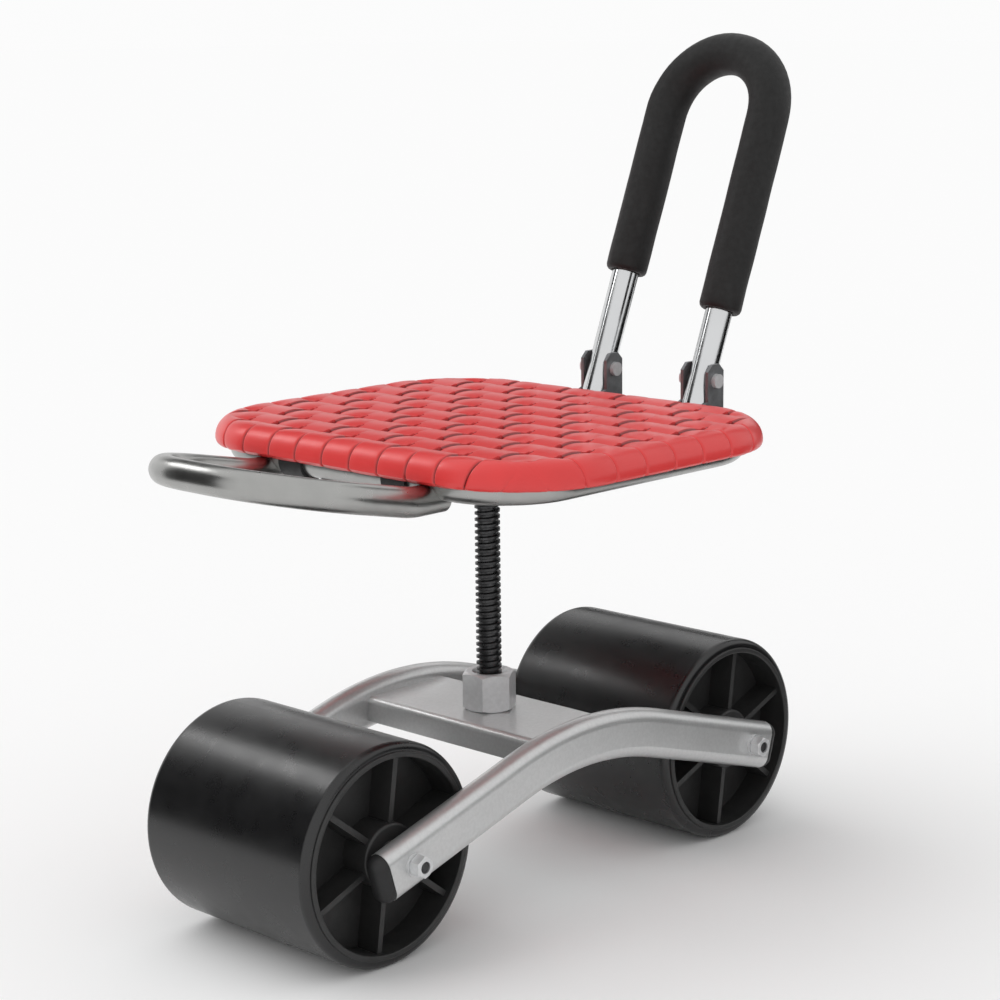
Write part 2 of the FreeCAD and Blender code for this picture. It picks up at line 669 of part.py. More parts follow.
def flange_fasteners():
    x, y = "dim.plate_bolt_x", "dim.plate_bolt_y"
    nut_low = "(dim.plate_low - dim.nut_height)"
    tail_low = f"({nut_low} - dim.bolt_tail)"
    shank = cylinder("dim.axle_radius", f"{SPINE_TOP} - {tail_low}", (x, y, tail_low))
    bolt = fuse(hexagon("dim.nut_flats", "dim.head_height", (x, y, SPINE_TOP)), shank)
    keep(pair(pair(bolt, ACROSS), ALONG), "flange_bolts")
    nut = cut(hexagon("dim.nut_flats", "dim.nut_height", (x, y, nut_low)),
              cylinder("dim.axle_radius", "dim.nut_height", (x, y, nut_low)))
    keep(pair(pair(nut, ACROSS), ALONG), "flange_nuts")


def ring_sweep(name, radius):
    """Solid bar along the seat ring's axis."""
    body = new_body(name)
    path = new_sketch(body, "XY_Plane", lift=RING_Z)
    rounded_rectangle(path, "dim.ring_half_x", "dim.ring_half_y", "dim.ring_corner")
    section = new_sketch(body, "XZ_Plane", lift="dim.ring_corner - dim.ring_half_y")
    circle(section, radius, "dim.ring_half_x", RING_Z)
    sweep(body, section, path)
    return body


def seat_ring(ring_bar):
    hollow = cut(ring_bar, ring_sweep("ring_bore", "dim.tube_radius - dim.tube_wall"))
    vent_at = ("dim.ring_half_x", "0", f"{RING_Z} - dim.tube_radius")
    keep(cut(hollow, cylinder("dim.vent_radius", "dim.tube_radius", vent_at)), "seat_ring")


def front_handle(ring_bar):
    body = new_body("handle_tube")
    radii = ("dim.tube_radius", "dim.tube_radius - dim.tube_wall")
    bend_x, bend_y = "dim.handle_half - dim.handle_corner", "dim.handle_corner - dim.handle_reach"
    bend = arc(bend_x, bend_y, "dim.handle_corner", -90, 0)
    path = new_sketch(body, "XY_Plane")
    bar, corner, leg = chain(path, [
        Part.LineSegment(point("0", "-dim.handle_reach"), bend.StartPoint),
        bend,
        Part.LineSegment(bend.EndPoint, point("dim.handle_half", "0")),
    ])
    fix_point(path, bar, START, "0", "-dim.handle_reach")
    fix_point(path, leg, END, "dim.handle_half", "0")
    lock(path, "Radius", corner, size="dim.handle_corner")
    path.addConstraint(Sketcher.Constraint("Horizontal", bar))
    path.addConstraint(Sketcher.Constraint("Vertical", leg))
    section = new_sketch(body, "YZ_Plane")
    for radius in radii:
        circle(section, radius, "-dim.handle_reach")
    bow = sweep(body, section, path)

    # Each leg turns level where it goes under the seat
    run, rise = "cos(dim.handle_pitch)", "sin(dim.handle_pitch)"
    root_y = f"dim.handle_bend * {rise} + dim.handle_root * {run}"
    root_z = f"dim.handle_bend * (1 - {run}) + dim.handle_root * {rise}"
    turn = arc("0", "dim.handle_bend", "dim.handle_bend", -90, value("dim.handle_pitch") - 90)
    level = new_sketch(body, "YZ_Plane", lift="dim.handle_half")
    curved, straight = chain(level, [turn, Part.LineSegment(turn.EndPoint, point(root_y, root_z))])
    fix_point(level, curved, CENTRE, "0", "dim.handle_bend")
    fix_point(level, curved, START, "0", "0")
    fix_point(level, straight, END, root_y, root_z)
    foot = new_sketch(body, "XZ_Plane")
    for radius in radii:
        circle(foot, radius, "dim.handle_half")
    mirror_features(body, [bow, sweep(body, foot, level)], "YZ_Plane")
    vent = new_sketch(body, "XY_Plane")
    circle(vent, "dim.vent_radius", "0", "-dim.handle_reach")
    extrude(body, "Pocket", vent, "2 * dim.tube_radius")
    slope_low = f"dim.handle_height + dim.handle_bend * (1 - {run})"
    place(body, "0", "-dim.handle_start", slope_low, Vector(-1, 0, 0), "dim.handle_pitch")
    keep(cut(body, ring_bar), "front_handle")


def bracket_bar():
    bar = solid("Box", ("-dim.bar_half", "dim.bar_front", SPINE_TOP), "Z", Length="2 * dim.bar_half",
                Width="dim.spine_rear - dim.bar_front", Height="dim.bar_thickness")
    keep(bar, "bracket_bar")


def backrest_bracket(side, sign):
    body = new_body(f"{side}_backrest_bracket")
    foot = f"({BAR_TOP} - dim.pivot_z)"
    shoulder = "dim.ear_top - dim.ear_cut"
    profile = new_sketch(body, "YZ_Plane")
    polygon(profile, [
        ("-dim.web_front", foot), ("dim.ear_half", foot), ("dim.ear_half", shoulder),
        ("dim.ear_half - dim.ear_cut", "dim.ear_top"), ("dim.ear_cut - dim.ear_half", "dim.ear_top"),
        ("-dim.ear_half", shoulder), ("-dim.ear_half", "-dim.gusset_drop"), ("-dim.web_front", "-dim.web_drop"),
    ])
    extrude(body, "Pad", profile, f"2 * {EAR_OUTSIDE}", both_ways=True)
    slot = new_sketch(body, "YZ_Plane")
    rectangle(slot, "dim.web_wall - dim.web_front", f"{foot} - dim.ear_cut",
              "dim.web_front", "dim.ear_top + dim.ear_cut")
    extrude(body, "Pocket", slot, f"2 * {EAR_INSIDE}", both_ways=True)
    hole = new_sketch(body, "YZ_Plane")
    circle(hole, "dim.pivot_radius + dim.running_gap")
    extrude(body, "Pocket", hole, f"4 * {EAR_OUTSIDE}", both_ways=True)
    place(body, f"{sign} * dim.leg_half", "dim.pivot_y", "dim.pivot_z")
    keep(body, body.Name)


def pivot_fasteners():
    bolts, nuts = [], []
    for sign in ("-1", "1"):
        right = f"{sign} * dim.leg_half + {EAR_OUTSIDE}"
        left = f"{sign} * dim.leg_half - {EAR_OUTSIDE} - dim.pivot_nut_height"
        tip = f"({left} - dim.bolt_tail / 2)"
        head_at = (right, "dim.pivot_y", "dim.pivot_z")
        head = cylinder("dim.pivot_head_radius", "dim.pivot_head_height", head_at, "X")
        shank = cylinder("dim.pivot_radius", f"{right} - {tip}", (tip, "dim.pivot_y", "dim.pivot_z"), "X")
        bolts.append(fuse(head, shank))
        at = (left, "dim.pivot_y", "dim.pivot_z")
        nuts.append(cut(hexagon("dim.pivot_nut_flats", "dim.pivot_nut_height", at, "X"),
                        cylinder("dim.pivot_radius", "dim.pivot_nut_height", at, "X")))
    keep(group(bolts), "pivot_bolts")
    keep(group(nuts), "pivot_nuts")


# Seat
def both_sides(count):
    """Steps from the left to the right of the middle."""
    last = int(value(count))
    return range(-last, last + 1)


def seat_shell():
    body = new_body("seat_shell")
    outline = new_sketch(body, "XY_Plane", lift="dim.seat_low")
    rounded_rectangle(outline, "dim.seat_half_x", "dim.seat_half_y", "dim.seat_corner")
    extrude(body, "Pad", outline, "dim.seat_top - dim.seat_low")
    round_edges(body, "dim.rim_round", lambda edge: lies_at(edge, "dim.seat_top"))
    round_edges(body, "dim.rim_edge", lambda edge: lies_at(edge, "dim.seat_low"))
    hollow = new_sketch(body, "XY_Plane", lift="dim.seat_low")
    rounded_rectangle(hollow, "(dim.seat_half_x - dim.rim_wall)", "(dim.seat_half_y - dim.rim_wall)",
                      "(dim.seat_corner - dim.rim_wall)")
    extrude(body, "Pocket", hollow, f"{SKIN_LOW} - dim.seat_low", backwards=True)
    round_edges(body, "dim.rim_round - dim.rim_wall", lambda edge: lies_at(edge, SKIN_LOW))
    half_rib = "dim.seat_rib / 2"
    reach_x, reach_y = "(dim.seat_half_x - dim.rim_round)", "(dim.seat_half_y - dim.rim_round)"
    lengthwise = new_sketch(body, "XY_Plane", lift=RING_TOP)
    for step in both_sides("dim.seat_ribs_x"):
        x = f"{step} * dim.seat_rib_step_x"
        rectangle(lengthwise, f"{x} - {half_rib}", f"-{reach_y}", f"{x} + {half_rib}", reach_y)
    extrude(body, "Pad", lengthwise, f"dim.seat_top - {RING_TOP} - {half_rib}")
    crosswise = new_sketch(body, "XY_Plane", lift=RING_TOP)
    for step in both_sides("dim.seat_ribs_y"):
        y = f"{step} * dim.seat_rib_step_y"
        rectangle(crosswise, f"-{reach_x}", f"{y} - {half_rib}", reach_x, f"{y} + {half_rib}")
    extrude(body, "Pad", crosswise, f"dim.seat_top - {RING_TOP} - {half_rib}")
    corners = [(x, y) for x in ("dim.clip_x", "-dim.clip_x") for y in (CLIP_SCREW_Y, f"-{CLIP_SCREW_Y}")]
    bosses = new_sketch(body, "XY_Plane", lift=CLIP_TOP)
    screw_holes = new_sketch(body, "XY_Plane", lift=CLIP_TOP)
    for x, y in corners:
        circle(bosses, "dim.boss_radius", x, y)
        circle(screw_holes, "dim.clip_screw_radius", x, y)
    extrude(body, "Pad", bosses, f"dim.seat_top - {CLIP_TOP} - {half_rib}")
    extrude(body, "Pocket", screw_holes, "dim.clip_screw_length", backwards=True)
    keep(body, body.Name)


def seat_clips():
    body = new_body("seat_clip")
    loop = new_sketch(body, "YZ_Plane")
    circle(loop, "dim.tube_radius + dim.clip_wall", "dim.ring_half_y", RING_Z)
    extrude(body, "Pad", loop, "dim.clip_width", both_ways=True)
    flange = new_sketch(body, "YZ_Plane")
    rectangle(flange, "dim.ring_half_y - dim.clip_reach", RING_TOP, "dim.ring_half_y", CLIP_TOP)
    extrude(body, "Pad", flange, "dim.clip_width", both_ways=True)
    bore = new_sketch(body, "YZ_Plane")
    circle(bore, "dim.tube_radius", "dim.ring_half_y", RING_Z)
    extrude(body, "Pocket", bore, "2 * dim.clip_width", both_ways=True)
    hole = new_sketch(body, "XY_Plane", lift=CLIP_TOP)
    circle(hole, "dim.clip_screw_radius + dim.hole_gap", "0", CLIP_SCREW_Y)
    extrude(body, "Pocket", hole, "2 * dim.clip_wall")
    place(body, x="dim.clip_x")
    keep(pair(pair(body, ACROSS), ALONG), "seat_clips")


def seat_clip_screws():
    head_at = ("dim.clip_x", CLIP_SCREW_Y, f"{RING_TOP} - dim.clip_head_height")
    shank_at = ("dim.clip_x", CLIP_SCREW_Y, RING_TOP)
    screw = fuse(cylinder("dim.clip_head_radius", "dim.clip_head_height", head_at),
                 cylinder("dim.clip_screw_radius", "dim.clip_screw_length", shank_at))
    keep(pair(pair(screw, ACROSS), ALONG), "seat_clip_screws")


# Backrest, drawn upright with its pivot at the origin and then leaned back
def lean_back(piece):
    place(piece, "0", "dim.pivot_y", "dim.pivot_z", Vector(-1, 0, 0), "dim.back_lean")


def backrest_sweep(name, right_end, left_end, radii):
    body = new_body(name)
    bow_z = "dim.back_length - dim.leg_half"
    bow = arc("0", bow_z, "dim.leg_half", 0, 180)
    path = new_sketch(body, "XZ_Plane")
    right, round_top, left = chain(path, [
        Part.LineSegment(point("dim.leg_half", right_end), bow.StartPoint),
        bow,
        Part.LineSegment(bow.EndPoint, point("-dim.leg_half", left_end)),
    ])
    fix_point(path, right, START, "dim.leg_half", right_end)
    fix_point(path, left, END, "-dim.leg_half", left_end)
    fix_point(path, round_top, CENTRE, "0", bow_z)
    path.addConstraint(Sketcher.Constraint("Vertical", right))
    section = new_sketch(body, "XY_Plane", lift=right_end)
    for radius in radii:
        circle(section, radius, "dim.leg_half")
    sweep(body, section, path)
    return body


def backrest_tube():
    body = backrest_sweep("backrest_tube", "-dim.leg_tail", "-dim.leg_tail",
                          ["dim.tube_radius", "dim.tube_radius - dim.tube_wall"])
    hole = new_sketch(body, "YZ_Plane")
    circle(hole, "dim.pivot_radius + dim.running_gap")
    extrude(body, "Pocket", hole, "4 * dim.leg_half", both_ways=True)
    lean_back(body)
    keep(body, body.Name)


def foam_sleeve():
    body = backrest_sweep("foam_sleeve", "dim.foam_right", "dim.foam_left",
                          ["dim.foam_radius", "dim.tube_radius"])

    def is_end(edge):
        ends = ("dim.foam_left", "dim.foam_right")
        return is_round(edge, "dim.foam_radius") and any(lies_at(edge, end) for end in ends)

    round_edges(body, "dim.foam_edge", is_end)
    lean_back(body)
    keep(body, body.Name)


def backrest_end_caps():
    body = new_body("backrest_end_cap")
    rim = new_sketch(body, "XY_Plane", lift="-dim.leg_tail - dim.leg_cap")
    circle(rim, "dim.tube_radius", "dim.leg_half")
    extrude(body, "Pad", rim, "dim.leg_cap")
    plug = new_sketch(body, "XY_Plane", lift="-dim.leg_tail")
    circle(plug, "dim.tube_radius - dim.tube_wall", "dim.leg_half")
    extrude(body, "Pad", plug, "dim.leg_cap_depth")
    lean_back(body)
    keep(pair(body, ACROSS), "backrest_end_caps")


# The whole seat
for end, y in (("front", f"-{AXLE_Y}"), ("rear", AXLE_Y)):
    drum_shell(end, y)
    drum_cap(end, y, "right", Vector(-1, 0, 0), "dim.rib_phase")
    drum_cap(end, y, "left", Vector(0, 0, 1), "180")
    hub_bushes(end, y)
    axle(end, y)
    axle_fasteners(end, y)
for side, sign in (("left", "-1"), ("right", "1")):
    side_tube(side, sign)
    backrest_bracket(side, sign)
tube_end_plugs()
crosspiece()
lead_nut()
seat_screw()
screw_stop()
flange_plate()
spine_bar()
flange_fasteners()
ring_bar = ring_sweep("ring_bar", "dim.tube_radius")
seat_ring(ring_bar)
front_handle(ring_bar)
bracket_bar()
pivot_fasteners()
seat_shell()
seat_clips()
seat_clip_screws()
backrest_tube()
foam_sleeve()
backrest_end_caps()
doc.recompute()

failed = [piece.Label for piece in doc.Objects if {"Invalid", "Error"} & set(piece.State)]
failed += [piece.Label for piece in nodes if piece.Shape.isNull() or not piece.Shape.isValid()]
if failed:
    raise RuntimeError("failed pieces: " + ", ".join(failed))

os.makedirs("parts", exist_ok=True)
for piece in nodes:
    piece.Shape.exportStep(f"parts/{piece.Label}.step")
    print(f"{piece.Label}: {len(piece.Shape.Solids)} solids, {piece.Shape.Volume:.0f} mm3")
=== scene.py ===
"""Rolling garden seat: models its woven seat and foam sleeve, and sets its finishes and its studio."""
import json
import math

import bmesh
import bpy
from bpy.props import FloatProperty, FloatVectorProperty, PointerProperty
from bpy.types import Operator, Panel, PropertyGroup
from mathutils import Matrix, Vector, noise


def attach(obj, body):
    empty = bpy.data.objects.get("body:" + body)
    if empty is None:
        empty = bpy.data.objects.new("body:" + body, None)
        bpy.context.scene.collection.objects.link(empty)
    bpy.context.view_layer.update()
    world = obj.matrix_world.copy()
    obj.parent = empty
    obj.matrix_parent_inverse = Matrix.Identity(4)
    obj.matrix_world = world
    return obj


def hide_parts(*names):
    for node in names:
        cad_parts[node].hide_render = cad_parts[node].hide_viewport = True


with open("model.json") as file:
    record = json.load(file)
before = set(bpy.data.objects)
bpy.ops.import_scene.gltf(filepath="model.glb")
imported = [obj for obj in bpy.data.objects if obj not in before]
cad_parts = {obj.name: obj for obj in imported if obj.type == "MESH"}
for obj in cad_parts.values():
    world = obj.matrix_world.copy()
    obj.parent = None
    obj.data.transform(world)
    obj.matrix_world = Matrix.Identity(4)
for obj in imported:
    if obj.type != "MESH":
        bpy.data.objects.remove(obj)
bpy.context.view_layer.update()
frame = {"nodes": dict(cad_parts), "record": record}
NODES = frame["nodes"]
MM = 0.001

bl_info = {
    "name": "Rolling garden seat",
    "version": (1, 0, 0),
    "blender": (4, 5, 0),
    "location": "View3D > Sidebar > Garden seat",
    "description": "Models a garden seat's woven seat and foam sleeve, and sets its finishes and its studio",
    "category": "Object",
}


def linear(code):
    """The linear colour of an sRGB hex value, with full alpha."""
    parts = [int(code[start:start + 2], 16) / 255 for start in (1, 3, 5)]
    return tuple(c / 12.92 if c <= 0.04045 else ((c + 0.055) / 1.055) ** 2.4 for c in parts) + (1.0,)


def length(name, description, default):
    """A setting in metres."""
    return FloatProperty(name=name, description=description, default=default, unit="LENGTH",
                         subtype="DISTANCE", precision=5)


def angle(name, description, degrees):
    """A setting in degrees."""
    return FloatProperty(name=name, description=description, default=math.radians(degrees),
                         unit="ROTATION", subtype="ANGLE")


def colour(name, description, code):
    """A setting that is a colour, given as an sRGB hex value."""
    return FloatVectorProperty(name=name, description=description, default=linear(code),
                               subtype="COLOR", size=4, min=0, max=1)


class WovenSeatSizes(PropertyGroup):
    """Sizes of the moulded seat and of the weave on it."""
    half_width: length("Half width", "Half of the seat along the axles", 172 * MM)
    half_depth: length("Half depth", "Half of the seat from front to back", 143.5 * MM)
    corner: length("Corner", "Radius of the seat's corners", 80 * MM)
    top: length("Top", "Height of the seat's top over the floor", 333 * MM)
    bottom: length("Bottom", "Height of the rim's lower edge over the floor", 313.5 * MM)
    rim_round: length("Rim rounding", "Radius of the rolled rim", 15 * MM)
    rim_edge: length("Rim edge", "Radius of the rim's lower edge", 4 * MM)
    rim_wall: length("Rim wall", "Thickness of the rim at its lower edge", 5 * MM)
    skin: length("Skin", "Thickness of the seat's top over its ribs", 4 * MM)
    strap_pitch: length("Strap pitch", "Spacing of the straps that run from front to back", 26.46 * MM)
    row_pitch: length("Row pitch", "Spacing of the straps that run along the axles", 28.7 * MM)
    strap_rise: length("Strap rise", "Rise of a strap from front to back where it lies on top", 2.2 * MM)
    row_rise: length("Row rise", "Rise of a strap along the axles where it lies on top", 1.4 * MM)
    row_level: length("Row level", "Height of the straps along the axles at their crossings", 0.7 * MM)
    row_crown: length("Row crown", "Fall of a strap along the axles from its middle to its edges", 2.0 * MM)
    strap_edge: length("Strap edge", "Rounding of a strap's edge", 0.9 * MM)
    strap_gap: length("Strap gap", "Gap between neighbouring straps", 0.8 * MM)
    slit_depth: length("Slit depth", "Depth of the slits below the crossings", 2.4 * MM)
    slit_length: length("Slit length", "Length of the slits from front to back", 10.5 * MM)
    slit_width: length("Slit width", "Width of the slits", 3.8 * MM)
    groove: length("Rim groove", "Depth of the grooves on the front and back rim", 1.7 * MM)
    side_groove: length("Side groove", "Depth of the grooves on the side rims", 0.9 * MM)


class FoamSleeveSizes(PropertyGroup):
    """Sizes of the foam sleeve on the backrest."""
    radius: length("Radius", "Outer radius of the sleeve", 15.75 * MM)
    bore: length("Bore", "Radius of the tube in the sleeve", 10.05 * MM)
    leg_half: length("Leg half", "Backrest legs from the middle", 49 * MM)
    height: length("Height", "Top of the tube's axis over the pivot", 250 * MM)
    right_end: length("Right end", "Right end of the sleeve over the pivot", 52 * MM)
    left_end: length("Left end", "Left end of the sleeve over the pivot", 75 * MM)
    pivot_y: length("Pivot back", "Backrest pivot behind the seat screw", 176.5 * MM)
    pivot_z: length("Pivot height", "Backrest pivot over the floor", 342 * MM)
    unevenness: length("Unevenness", "Swell of the soft foam", 0.35 * MM)
    swell: length("Swell", "Length of the foam's swells", 22 * MM)
    ring_step: length("Ring step", "Spacing of the rings along the legs", 8 * MM)
    first_ring: length("First ring", "Lowest ring over the sleeve's end", 12 * MM)
    last_gap: length("Last gap", "Least gap from the highest ring to the bow", 4 * MM)
    lean: angle("Lean", "Lean of the backrest", 21.8)


class FinishColours(PropertyGroup):
    """Colours of the finishes."""
    seat_red: colour("Seat red", "Moulded seat", "#DE2E2E")
    # Colour of the painted shade, with some dust, that darkens the weave's slits, strap edges and rim grooves
    seat_dust_and_painted_shade: colour("Seat shade", "Dust and shade down in the weave", "#561014")
    drum_black: colour("Drum black", "Roller drums", "#111112")
    # A lighter black than the drum's, partly a painted lift standing in for light in the shaded recess
    cap_black: colour("Cap black", "End caps of the drums", "#2C2C2C")
    foam_black: colour("Foam black", "Foam sleeve", "#0A0A0A")
    trim_black: colour("Trim black", "Plugs, clips and caps", "#151516")
    bush_grey: colour("Bush grey", "Hub bushes", "#4A4B4C")
    frame_silver: colour("Frame silver", "Paint on the frame", "#D2D3D3")
    bracket_grey: colour("Bracket grey", "Backrest brackets", "#8E9092")
    screw_black: colour("Screw black", "Seat screw and axles", "#4A4A4B")
    zinc: colour("Zinc", "Zinc plate on nuts, bolts and washers", "#DADBDC")
    chrome: colour("Chrome", "Chromed backrest tube", "#D6D7D8")
    satin: colour("Satin chrome", "Seat ring and front handle", "#AAAAA8")


class StudioSettings(PropertyGroup):
    """Camera, light and floor."""
    camera: FloatVectorProperty(name="Camera", description="Place of the camera", subtype="XYZ_LENGTH",
                                unit="LENGTH", default=(1.17026, -1.19967, 0.60571))
    azimuth: angle("Azimuth", "Turn of the camera round the seat", 43.98)
    elevation: angle("Elevation", "Slope of the camera", 11.26)
    roll: angle("Roll", "Roll of the camera", -0.628)
    lens: FloatProperty(name="Lens", description="Focal length in millimetres", default=87.9, unit="CAMERA")
    sensor: FloatProperty(name="Sensor", description="Sensor width in millimetres", default=36, unit="CAMERA")
    sky: FloatProperty(name="Sky", description="Strength of the even light from all round", default=0.77)
    key: FloatProperty(name="Key", description="Strength of the light from the upper left", default=1.0)
    key_spread: angle("Key spread", "Width of the key light, which softens its shadows", 70)
    key_way: FloatVectorProperty(name="Key way", description="Direction in which the key light shines",
                                 subtype="DIRECTION", default=(0.58, 0.36, -0.73))
    backdrop: FloatProperty(name="Backdrop", description="Brightness of the backdrop as seen", default=0.97)
    floor: colour("Floor", "Paper floor", "#FBFBFB")
    floor_size: length("Floor size", "Side of the floor", 80)


# Shader helpers
def add(tree, kind, inputs=None, **settings):
    """One shader node. An input that is a socket is linked, any other is set."""
    made = tree.nodes.new("ShaderNode" + kind)
    for name, setting in settings.items():
        setattr(made, name, setting)
    for name, given in (inputs or {}).items():
        if isinstance(given, bpy.types.NodeSocket):
            tree.links.new(given, made.inputs[name])
        else:
            made.inputs[name].default_value = given
    return made


def begin(name, **sockets):
    """A material, its tree, its shader with constant sockets set, and its Object coordinates."""
    material = bpy.data.materials.new(name)
    material.use_nodes = True
    tree = material.node_tree
    shader = tree.nodes["Principled BSDF"]
    for socket, given in sockets.items():
        shader.inputs[socket.replace("_", " ")].default_value = given
    return material, tree, shader, add(tree, "TexCoord").outputs["Object"]


def per_metre(millimetres):
    """Scale of a noise whose grains are so many millimetres wide."""
    return 1 / (millimetres * MM)


def shaded(base, factor):
    """A colour that is darker or lighter by a factor."""
    return tuple(c * factor for c in base[:3]) + (1.0,)


def finish_surface(tree, shader, coords, tones, wear_mm, gloss, grain_mm, grain_depth_mm, gloss_mm=None):
    """Patchy colour, patchy gloss and fine relief, each from a noise of its own size."""
    patches = add(tree, "TexNoise", {"Vector": coords, "Scale": per_metre(wear_mm), "Detail": 4.0})
    tone = add(tree, "ValToRGB", {"Fac": patches.outputs["Fac"]})
    tone.color_ramp.elements[0].position = 0.35
    tone.color_ramp.elements[0].color = tones[0]
    tone.color_ramp.elements[1].position = 0.65
    tone.color_ramp.elements[1].color = tones[1]
    tree.links.new(tone.outputs["Color"], shader.inputs["Base Color"])
    smear_scale = per_metre(gloss_mm or wear_mm / 2)
    smears = add(tree, "TexNoise", {"Vector": coords, "Scale": smear_scale, "Detail": 3.0})
    rough = add(tree, "MapRange", {"Value": smears.outputs["Fac"], "From Min": 0.3, "From Max": 0.7,
                                   "To Min": gloss[0], "To Max": gloss[1]})
    tree.links.new(rough.outputs["Result"], shader.inputs["Roughness"])
    grain = add(tree, "TexNoise", {"Vector": coords, "Scale": per_metre(grain_mm), "Detail": 2.0})
    relief = add(tree, "Bump", {"Height": grain.outputs["Fac"], "Distance": grain_depth_mm * MM})
    tree.links.new(relief.outputs["Normal"], shader.inputs["Normal"])


def moulded_polypropylene_red(colours):
    # Glossy red with a soft bloom at a low angle; down in the weave its colour is darkened toward painted
    # shade, with some dust, in the slits, along strap edges and in the rim grooves
    material, tree, shader, coords = begin("moulded polypropylene, red", IOR=1.49, Coat_Weight=0.5,
                                           Coat_Roughness=0.3)
    # The groove attribute is a mask of painted shade, with some dust, not of depth
    depth = add(tree, "Attribute", attribute_name="groove").outputs["Fac"]
    mottle = add(tree, "TexNoise", {"Vector": coords, "Scale": per_metre(18), "Detail": 4.0})
    uneven = add(tree, "MapRange", {"Value": mottle.outputs["Fac"], "From Min": 0.35, "From Max": 0.65,
                                    "To Min": 0.0, "To Max": 0.18})
    worn = add(tree, "Mix", {0: uneven.outputs["Result"], 6: tuple(colours.seat_red),
                             7: shaded(colours.seat_red, 0.82)}, data_type="RGBA")
    dust_and_painted_shade_mix = add(tree, "Mix", {0: depth, 6: worn.outputs[2], 7: tuple(colours.seat_dust_and_painted_shade)}, data_type="RGBA")
    tree.links.new(dust_and_painted_shade_mix.outputs[2], shader.inputs["Base Color"])
    smears = add(tree, "TexNoise", {"Vector": coords, "Scale": per_metre(30), "Detail": 3.0})
    rough = add(tree, "MapRange", {"Value": smears.outputs["Fac"], "To Min": 0.36, "To Max": 0.52})
    tree.links.new(rough.outputs["Result"], shader.inputs["Roughness"])
    grain = add(tree, "TexNoise", {"Vector": coords, "Scale": per_metre(1.2), "Detail": 2.0})
    relief = add(tree, "Bump", {"Height": grain.outputs["Fac"], "Distance": 0.04 * MM})
    tree.links.new(relief.outputs["Normal"], shader.inputs["Normal"])
    return material


def moulded_polyethylene_black(colours):
    # Satin black with broad soft highlights, slightly cloudy from handling
    material, tree, shader, coords = begin("moulded polyethylene, satin black", IOR=1.5,
                                           Specular_IOR_Level=0.62)
    finish_surface(tree, shader, coords, (colours.drum_black, shaded(colours.drum_black, 1.25)), 35,
                   (0.26, 0.32), 1.5, 0.006)
    return material


def moulded_cap_black(colours):
    # Duller than the drum, and a lighter black than the drum's: a painted lift that stands in for light in
    # the recess's shade, so that the ribs and the floor of the recess stay readable
    material, tree, shader, coords = begin("moulded polypropylene, matt black", IOR=1.49)
    finish_surface(tree, shader, coords, (colours.cap_black, shaded(colours.cap_black, 0.8)), 12,
                   (0.4, 0.52), 1.2, 0.03)
    return material


def extruded_foam_black(colours):
    # Closed-cell foam with a matt skin: a dull soft sheen and fine pores, drawn a millimetre wide
    material, tree, shader, coords = begin("extruded nitrile foam, black", IOR=1.45, Sheen_Weight=0.08,
                                           Sheen_Roughness=0.5)
    finish_surface(tree, shader, coords, (colours.foam_black, shaded(colours.foam_black, 1.35)), 9,
                   (0.55, 0.7), 1.0, 0.12)
    return material


def moulded_trim_black(colours):
    # Matt black polyethylene with fine spark-eroded grain
    material, tree, shader, coords = begin("moulded polyethylene trim, matt black", IOR=1.5)
    finish_surface(tree, shader, coords, (colours.trim_black, shaded(colours.trim_black, 1.3)), 6,
                   (0.5, 0.62), 0.8, 0.04)
    return material


def moulded_nylon_grey(colours):
    # Dull grey nylon that the axle has polished in places
    material, tree, shader, coords = begin("moulded nylon, grey", IOR=1.53)
    finish_surface(tree, shader, coords, (colours.bush_grey, shaded(colours.bush_grey, 0.8)), 5,
                   (0.4, 0.6), 0.8, 0.03)
    return material


def sprayed_silver_paint(colours):
    # Satin silver with fine metal flake and a slight orange peel
    material, tree, shader, coords = begin("sprayed silver paint on steel", Metallic=0.7, Coat_Weight=0.4,
                                           Coat_Roughness=0.2)
    finish_surface(tree, shader, coords, (colours.frame_silver, shaded(colours.frame_silver, 0.93)), 2.2,
                   (0.34, 0.42), 2.5, 0.03, gloss_mm=40)
    return material


def plated_bracket_grey(colours):
    # Dark grey steel, pressed and barrel plated, with a dull uneven shine
    material, tree, shader, coords = begin("pressed steel, dark grey plate", Metallic=0.8)
    finish_surface(tree, shader, coords, (colours.bracket_grey, shaded(colours.bracket_grey, 0.75)), 8,
                   (0.32, 0.5), 1.0, 0.03)
    return material


def oxide_black_steel(colours):
    # Black oxide on rolled thread, oiled, so that the thread's flanks catch small highlights
    material, tree, shader, coords = begin("rolled steel, black oxide and oil", Metallic=0.75)
    finish_surface(tree, shader, coords, (colours.screw_black, shaded(colours.screw_black, 0.6)), 6,
                   (0.25, 0.45), 0.9, 0.04)
    return material


def zinc_plated_steel(colours):
    # Bright zinc with the faint cloudiness of barrel plating
    material, tree, shader, coords = begin("steel, barrel zinc plate", Metallic=0.45)
    finish_surface(tree, shader, coords, (colours.zinc, shaded(colours.zinc, 0.9)), 4,
                   (0.3, 0.42), 0.9, 0.02)
    return material


def polished_chrome_plate(colours):
    # Mirror-bright tube with the faint waviness of drawn steel under the plate
    material, tree, shader, coords = begin("drawn steel tube, chrome plate", Metallic=1.0)
    finish_surface(tree, shader, coords, (colours.chrome, shaded(colours.chrome, 0.97)), 25,
                   (0.13, 0.18), 14, 0.02)
    return material


def satin_chrome_plate(colours):
    # Chrome over brushed tube: soft grey gradients in place of a mirror image
    material, tree, shader, coords = begin("brushed steel tube, satin chrome plate", Metallic=1.0)
    finish_surface(tree, shader, coords, (colours.satin, shaded(colours.satin, 0.94)), 18,
                   (0.27, 0.33), 6, 0.015)
    return material


